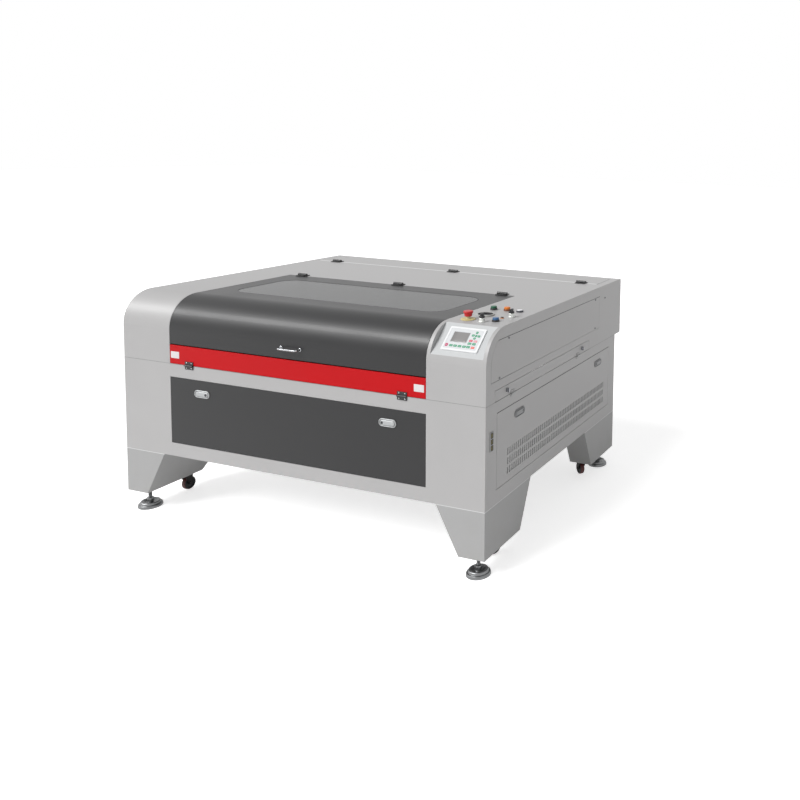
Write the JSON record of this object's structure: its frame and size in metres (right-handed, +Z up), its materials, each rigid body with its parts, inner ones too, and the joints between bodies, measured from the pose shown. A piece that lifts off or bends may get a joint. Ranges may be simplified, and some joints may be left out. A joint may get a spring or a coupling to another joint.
{
  "type": "laser engraving machine",
  "caption": "Floor-standing laser engraving machine with curved front lid, pass-through flaps, control corner, tapered legs, levelling feet and castors.",
  "frame": {"origin": "middle of the bounding box's underside, on the floor between the four feet", "axes": "+X to the operator's right, +Y to the rear, +Z up"},
  "size_m": [1.874, 1.4089, 1.0394],
  "materials": {
    "housing_paint": "satin powder coat",
    "lid_paint": "satin powder coat",
    "flap_paint": "satin powder coat",
    "hinge_black": "satin black",
    "zinc": "zinc plated",
    "bright_chrome": "polished",
    "foot_steel": "turned and plated",
    "castor_metal": "satin",
    "castor_tread": "moulded",
    "window_sheet": "tinted clear sheet",
    "black_plastic": "moulded",
    "panel_plastic": "moulded frame and film",
    "yellow_plastic": "moulded",
    "red_plastic": "moulded",
    "green_plastic": "moulded",
    "orange_plastic": "moulded",
    "white_plastic": "moulded",
    "blue_plastic": "moulded",
    "rail_aluminium": "extruded",
    "screw_steel": "plated",
    "tube_glass": "clear"
  },
  "bodies": {
    "machine_body": {"lower_cabinet": "housing_paint", "upper_housing": "housing_paint", "legs": "housing_paint", "caster_plates": "castor_metal", "hinge_leaves_fixed": "hinge_black", "display_panel": "panel_plastic", "panel_meter": "black_plastic", "estop_collar": "yellow_plastic", "switch_bases": "bright_chrome", "button_bezels": "black_plastic", "side_panels_upper": "housing_paint", "panel_screws": "screw_steel", "port_plate": "black_plastic", "linear_rails": "rail_aluminium", "lift_screws": "foot_steel", "laser_tube": "tube_glass", "tube_saddles": "black_plastic"},
    "lid_body": {"lid": "lid_paint", "lid_window": "window_sheet", "lid_handle": "bright_chrome", "lid_hinge_leaves": "hinge_black"},
    "front_flap_body": {"front_flap": "flap_paint", "front_flap_leaves": "hinge_black"},
    "rear_flap_body": {"rear_flap": "housing_paint"},
    "side_flap_right_body": {"side_flap_right": "housing_paint"},
    "side_flap_left_body": {"side_flap_left": "housing_paint"},
    "knob_right_front_body": {"flap_knob_right_front": "bright_chrome"},
    "knob_right_rear_body": {"flap_knob_right_rear": "bright_chrome"},
    "rear_cover_body": {"rear_cover": "housing_paint", "rear_cover_leaves": "hinge_black"},
    "front_door_body": {"front_door": "lid_paint", "front_latch_cases": "zinc"},
    "front_paddle_right_body": {"front_paddle_right": "zinc"},
    "front_paddle_left_body": {"front_paddle_left": "zinc"},
    "side_door_body": {"side_door": "housing_paint", "side_latch_cases": "zinc"},
    "side_paddle_front_body": {"side_paddle_front": "zinc"},
    "side_paddle_rear_body": {"side_paddle_rear": "zinc"},
    "gantry_body": {"gantry_beam": "rail_aluminium"},
    "laser_head_body": {"laser_head": "lid_paint"},
    "worktable_body": {"worktable": "rail_aluminium"},
    "estop_body": {"estop": "red_plastic"},
    "button_green_body": {"button_green": "green_plastic"},
    "button_orange_body": {"button_orange": "orange_plastic"},
    "button_white_body": {"button_white": "white_plastic"},
    "button_blue_body": {"button_blue": "blue_plastic"},
    "selector_front_body": {"selector_front": "black_plastic"},
    "selector_rear_body": {"selector_rear": "black_plastic"},
    "foot_front_right_body": {"foot_front_right": "foot_steel"},
    "caster_fork_front_right_body": {"caster_fork_front_right": "castor_metal"},
    "caster_wheel_front_right_body": {"caster_wheel_front_right": "castor_tread"},
    "foot_front_left_body": {"foot_front_left": "foot_steel"},
    "caster_fork_front_left_body": {"caster_fork_front_left": "castor_metal"},
    "caster_wheel_front_left_body": {"caster_wheel_front_left": "castor_tread"},
    "foot_rear_right_body": {"foot_rear_right": "foot_steel"},
    "caster_fork_rear_right_body": {"caster_fork_rear_right": "castor_metal"},
    "caster_wheel_rear_right_body": {"caster_wheel_rear_right": "castor_tread"},
    "foot_rear_left_body": {"foot_rear_left": "foot_steel"},
    "caster_fork_rear_left_body": {"caster_fork_rear_left": "castor_metal"},
    "caster_wheel_rear_left_body": {"caster_wheel_rear_left": "castor_tread"}
  },
  "joints": [
    {"name": "lid_hinge", "type": "hinge", "parent": "machine_body", "child": "lid_body", "pos_m": [0.005, 0.02105, 1.0099], "axis": [-1, 0, 0], "range_deg": [0, 70]},
    {"name": "front_flap_hinge", "type": "hinge", "parent": "machine_body", "child": "front_flap_body", "pos_m": [0, -0.67835, 0.71075], "axis": [1, 0, 0], "range_deg": [0, 170]},
    {"name": "rear_flap_hinge", "type": "hinge", "parent": "machine_body", "child": "rear_flap_body", "pos_m": [0, 0.70045, 0.75625], "axis": [1, 0, 0], "range_deg": [0, 100]},
    {"name": "side_flap_right_hinge", "type": "hinge", "parent": "machine_body", "child": "side_flap_right_body", "pos_m": [0.9294, -0.15995, 0.71075], "axis": [0, 1, 0], "range_deg": [0, 150]},
    {"name": "side_flap_left_hinge", "type": "hinge", "parent": "machine_body", "child": "side_flap_left_body", "pos_m": [-0.9294, -0.15995, 0.71075], "axis": [0, -1, 0], "range_deg": [0, 150]},
    {"name": "knob_right_front_turn", "type": "hinge", "parent": "side_flap_right_body", "child": "knob_right_front_body", "pos_m": [0.925, -0.51495, 0.735], "axis": [1, 0, 0], "range_deg": [0, 90]},
    {"name": "knob_right_rear_turn", "type": "hinge", "parent": "side_flap_right_body", "child": "knob_right_rear_body", "pos_m": [0.925, 0.20105, 0.735], "axis": [1, 0, 0], "range_deg": [0, 90]},
    {"name": "rear_cover_hinge", "type": "hinge", "parent": "machine_body", "child": "rear_cover_body", "pos_m": [0, 0.4783, 1.0099], "axis": [1, 0, 0], "range_deg": [0, 95]},
    {"name": "front_door_hinge", "type": "hinge", "parent": "machine_body", "child": "front_door_body", "pos_m": [0, -0.66495, 0.374], "axis": [1, 0, 0], "range_deg": [0, 90]},
    {"name": "front_paddle_right_turn", "type": "hinge", "parent": "front_door_body", "child": "front_paddle_right_body", "pos_m": [0.498, -0.67645, 0.591], "axis": [0, 0, 1], "range_deg": [0, 40]},
    {"name": "front_paddle_left_turn", "type": "hinge", "parent": "front_door_body", "child": "front_paddle_left_body", "pos_m": [-0.498, -0.67645, 0.591], "axis": [0, 0, -1], "range_deg": [0, 40]},
    {"name": "side_door_hinge", "type": "hinge", "parent": "machine_body", "child": "side_door_body", "pos_m": [0.916, -0.02395, 0.371], "axis": [0, 1, 0], "range_deg": [0, 90]},
    {"name": "side_paddle_front_turn", "type": "hinge", "parent": "side_door_body", "child": "side_paddle_front_body", "pos_m": [0.9275, -0.42995, 0.611], "axis": [0, 0, -1], "range_deg": [0, 40]},
    {"name": "side_paddle_rear_turn", "type": "hinge", "parent": "side_door_body", "child": "side_paddle_rear_body", "pos_m": [0.9275, 0.42105, 0.611], "axis": [0, 0, 1], "range_deg": [0, 40]},
    {"name": "gantry_slide", "type": "slide", "parent": "machine_body", "child": "gantry_body", "axis": [0, 1, 0], "range_m": [-0.8, 0.1]},
    {"name": "laser_head_slide", "type": "slide", "parent": "gantry_body", "child": "laser_head_body", "axis": [1, 0, 0], "range_m": [-0.6, 0.6]},
    {"name": "worktable_lift", "type": "slide", "parent": "machine_body", "child": "worktable_body", "axis": [0, 0, 1], "range_m": [-0.18, 0]},
    {"name": "estop_press", "type": "slide", "parent": "machine_body", "child": "estop_body", "axis": [0, 0, 1], "range_m": [-0.004, 0]},
    {"name": "button_green_press", "type": "slide", "parent": "machine_body", "child": "button_green_body", "axis": [0, 0, 1], "range_m": [-0.003, 0], "stiffness_N_per_m": 400},
    {"name": "button_orange_press", "type": "slide", "parent": "machine_body", "child": "button_orange_body", "axis": [0, 0, 1], "range_m": [-0.003, 0], "stiffness_N_per_m": 400},
    {"name": "button_white_press", "type": "slide", "parent": "machine_body", "child": "button_white_body", "axis": [0, 0, 1], "range_m": [-0.003, 0], "stiffness_N_per_m": 400},
    {"name": "button_blue_press", "type": "slide", "parent": "machine_body", "child": "button_blue_body", "axis": [0, 0, 1], "range_m": [-0.003, 0], "stiffness_N_per_m": 400},
    {"name": "selector_front_turn", "type": "hinge", "parent": "machine_body", "child": "selector_front_body", "pos_m": [0.809, -0.51795, 1.02], "axis": [0, 0, 1], "range_deg": [0, 90]},
    {"name": "selector_rear_turn", "type": "hinge", "parent": "machine_body", "child": "selector_rear_body", "pos_m": [0.872, -0.39195, 1.02], "axis": [0, 0, 1], "range_deg": [0, 90]},
    {"name": "foot_front_right_adjust", "type": "slide", "parent": "machine_body", "child": "foot_front_right_body", "axis": [0, 0, -1], "range_m": [0, 0.03]},
    {"name": "caster_front_right_swivel", "type": "hinge", "parent": "machine_body", "child": "caster_fork_front_right_body", "pos_m": [0.849, -0.44895, 0.079], "axis": [0, 0, 1], "continuous": true},
    {"name": "caster_front_right_roll", "type": "hinge", "parent": "caster_fork_front_right_body", "child": "caster_wheel_front_right_body", "pos_m": [0.84, -0.46454, 0.036], "axis": [-0.866, 0.5, 0], "continuous": true},
    {"name": "foot_front_left_adjust", "type": "slide", "parent": "machine_body", "child": "foot_front_left_body", "axis": [0, 0, -1], "range_m": [0, 0.03]},
    {"name": "caster_front_left_swivel", "type": "hinge", "parent": "machine_body", "child": "caster_fork_front_left_body", "pos_m": [-0.849, -0.44895, 0.079], "axis": [0, 0, 1], "continuous": true},
    {"name": "caster_front_left_roll", "type": "hinge", "parent": "caster_fork_front_left_body", "child": "caster_wheel_front_left_body", "pos_m": [-0.849, -0.43095, 0.036], "axis": [1, 0, 0], "continuous": true},
    {"name": "foot_rear_right_adjust", "type": "slide", "parent": "machine_body", "child": "foot_rear_right_body", "axis": [0, 0, -1], "range_m": [0, 0.03]},
    {"name": "caster_rear_right_swivel", "type": "hinge", "parent": "machine_body", "child": "caster_fork_rear_right_body", "pos_m": [0.849, 0.40105, 0.079], "axis": [0, 0, 1], "continuous": true},
    {"name": "caster_rear_right_roll", "type": "hinge", "parent": "caster_fork_rear_right_body", "child": "caster_wheel_rear_right_body", "pos_m": [0.83521, 0.41262, 0.036], "axis": [0.6428, 0.766, 0], "continuous": true},
    {"name": "foot_rear_left_adjust", "type": "slide", "parent": "machine_body", "child": "foot_rear_left_body", "axis": [0, 0, -1], "range_m": [0, 0.03]},
    {"name": "caster_rear_left_swivel", "type": "hinge", "parent": "machine_body", "child": "caster_fork_rear_left_body", "pos_m": [-0.849, 0.40105, 0.079], "axis": [0, 0, 1], "continuous": true},
    {"name": "caster_rear_left_roll", "type": "hinge", "parent": "caster_fork_rear_left_body", "child": "caster_wheel_rear_left_body", "pos_m": [-0.858, 0.38546, 0.036], "axis": [-0.866, 0.5, 0], "continuous": true}
  ]
}
